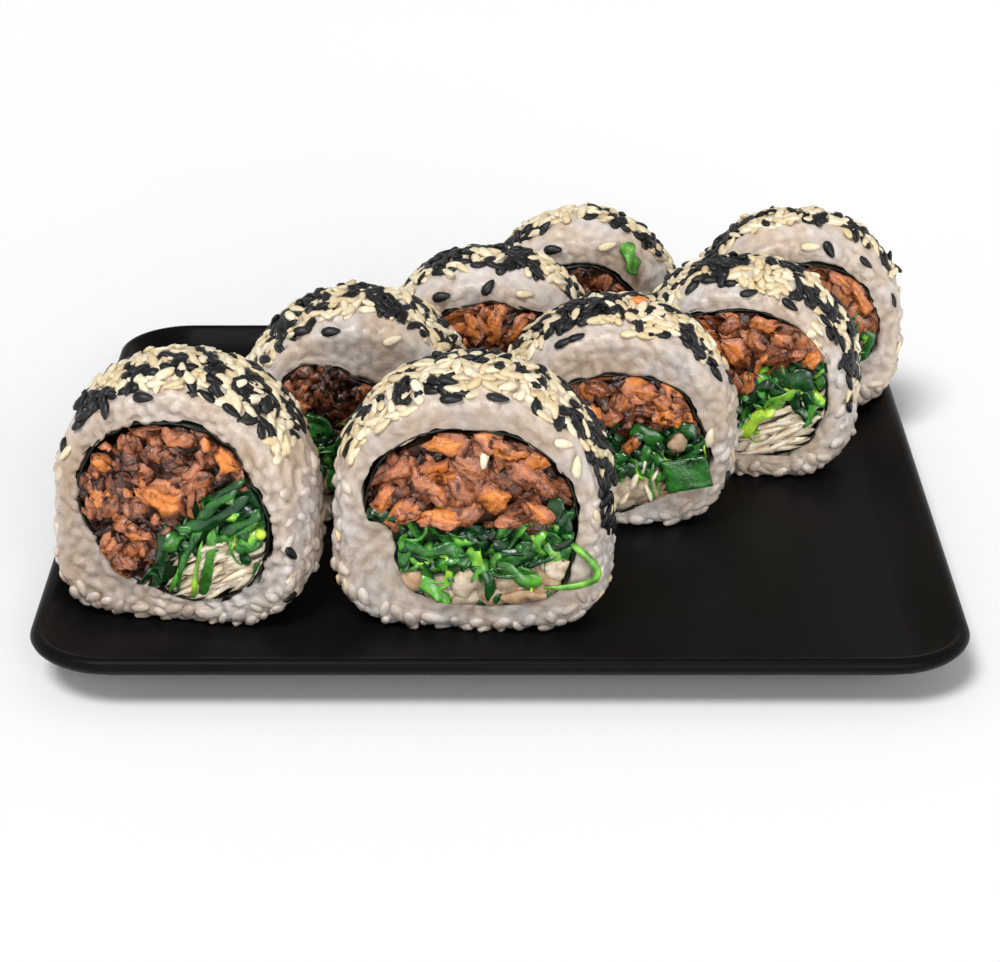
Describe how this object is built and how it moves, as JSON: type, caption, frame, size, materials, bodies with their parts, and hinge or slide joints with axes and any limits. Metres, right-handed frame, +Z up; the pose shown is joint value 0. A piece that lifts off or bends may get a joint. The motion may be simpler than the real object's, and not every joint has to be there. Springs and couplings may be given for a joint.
{
  "type": "uramaki roll",
  "caption": "Inside-out sushi pieces rolled in black and pale sesame, filled with cooked salmon, seaweed salad and cream cheese, in two slanting rows on a square black plate",
  "frame": {"origin": "centre of the plate's flat foot, on the table", "axes": "+X right along the plate's front edge, +Y from the front edge to the back, +Z up; the rolls show their cut faces to -Y"},
  "size_m": [0.1522, 0.15, 0.0484],
  "materials": {
    "plate_black": "satin black",
    "rice_white": "moist cooked rice with sesame seeds",
    "seaweed_sheet": "moist dark seaweed sheet",
    "cooked_salmon": "glossy flaked cooked fish",
    "seaweed_salad": "wet green strands",
    "cream_cheese": "soft and matte"
  },
  "bodies": {
    "root": {"plate": "plate_black", "rice_a1": "rice_white", "seaweed_sheet_a1": "seaweed_sheet", "salmon_a1": "cooked_salmon", "seaweed_salad_a1": "seaweed_salad", "cream_cheese_a1": "cream_cheese", "rice_a2": "rice_white", "seaweed_sheet_a2": "seaweed_sheet", "salmon_a2": "cooked_salmon", "seaweed_salad_a2": "seaweed_salad", "cream_cheese_a2": "cream_cheese", "rice_a3": "rice_white", "seaweed_sheet_a3": "seaweed_sheet", "salmon_a3": "cooked_salmon", "seaweed_salad_a3": "seaweed_salad", "cream_cheese_a3": "cream_cheese", "rice_a4": "rice_white", "seaweed_sheet_a4": "seaweed_sheet", "salmon_a4": "cooked_salmon", "seaweed_salad_a4": "seaweed_salad", "cream_cheese_a4": "cream_cheese", "rice_b1": "rice_white", "seaweed_sheet_b1": "seaweed_sheet", "salmon_b1": "cooked_salmon", "seaweed_salad_b1": "seaweed_salad", "cream_cheese_b1": "cream_cheese", "rice_b2": "rice_white", "seaweed_sheet_b2": "seaweed_sheet", "salmon_b2": "cooked_salmon", "seaweed_salad_b2": "seaweed_salad", "cream_cheese_b2": "cream_cheese", "rice_b3": "rice_white", "seaweed_sheet_b3": "seaweed_sheet", "salmon_b3": "cooked_salmon", "seaweed_salad_b3": "seaweed_salad", "cream_cheese_b3": "cream_cheese", "rice_b4": "rice_white", "seaweed_sheet_b4": "seaweed_sheet", "salmon_b4": "cooked_salmon", "seaweed_salad_b4": "seaweed_salad", "cream_cheese_b4": "cream_cheese"}
  },
  "joints": []
}
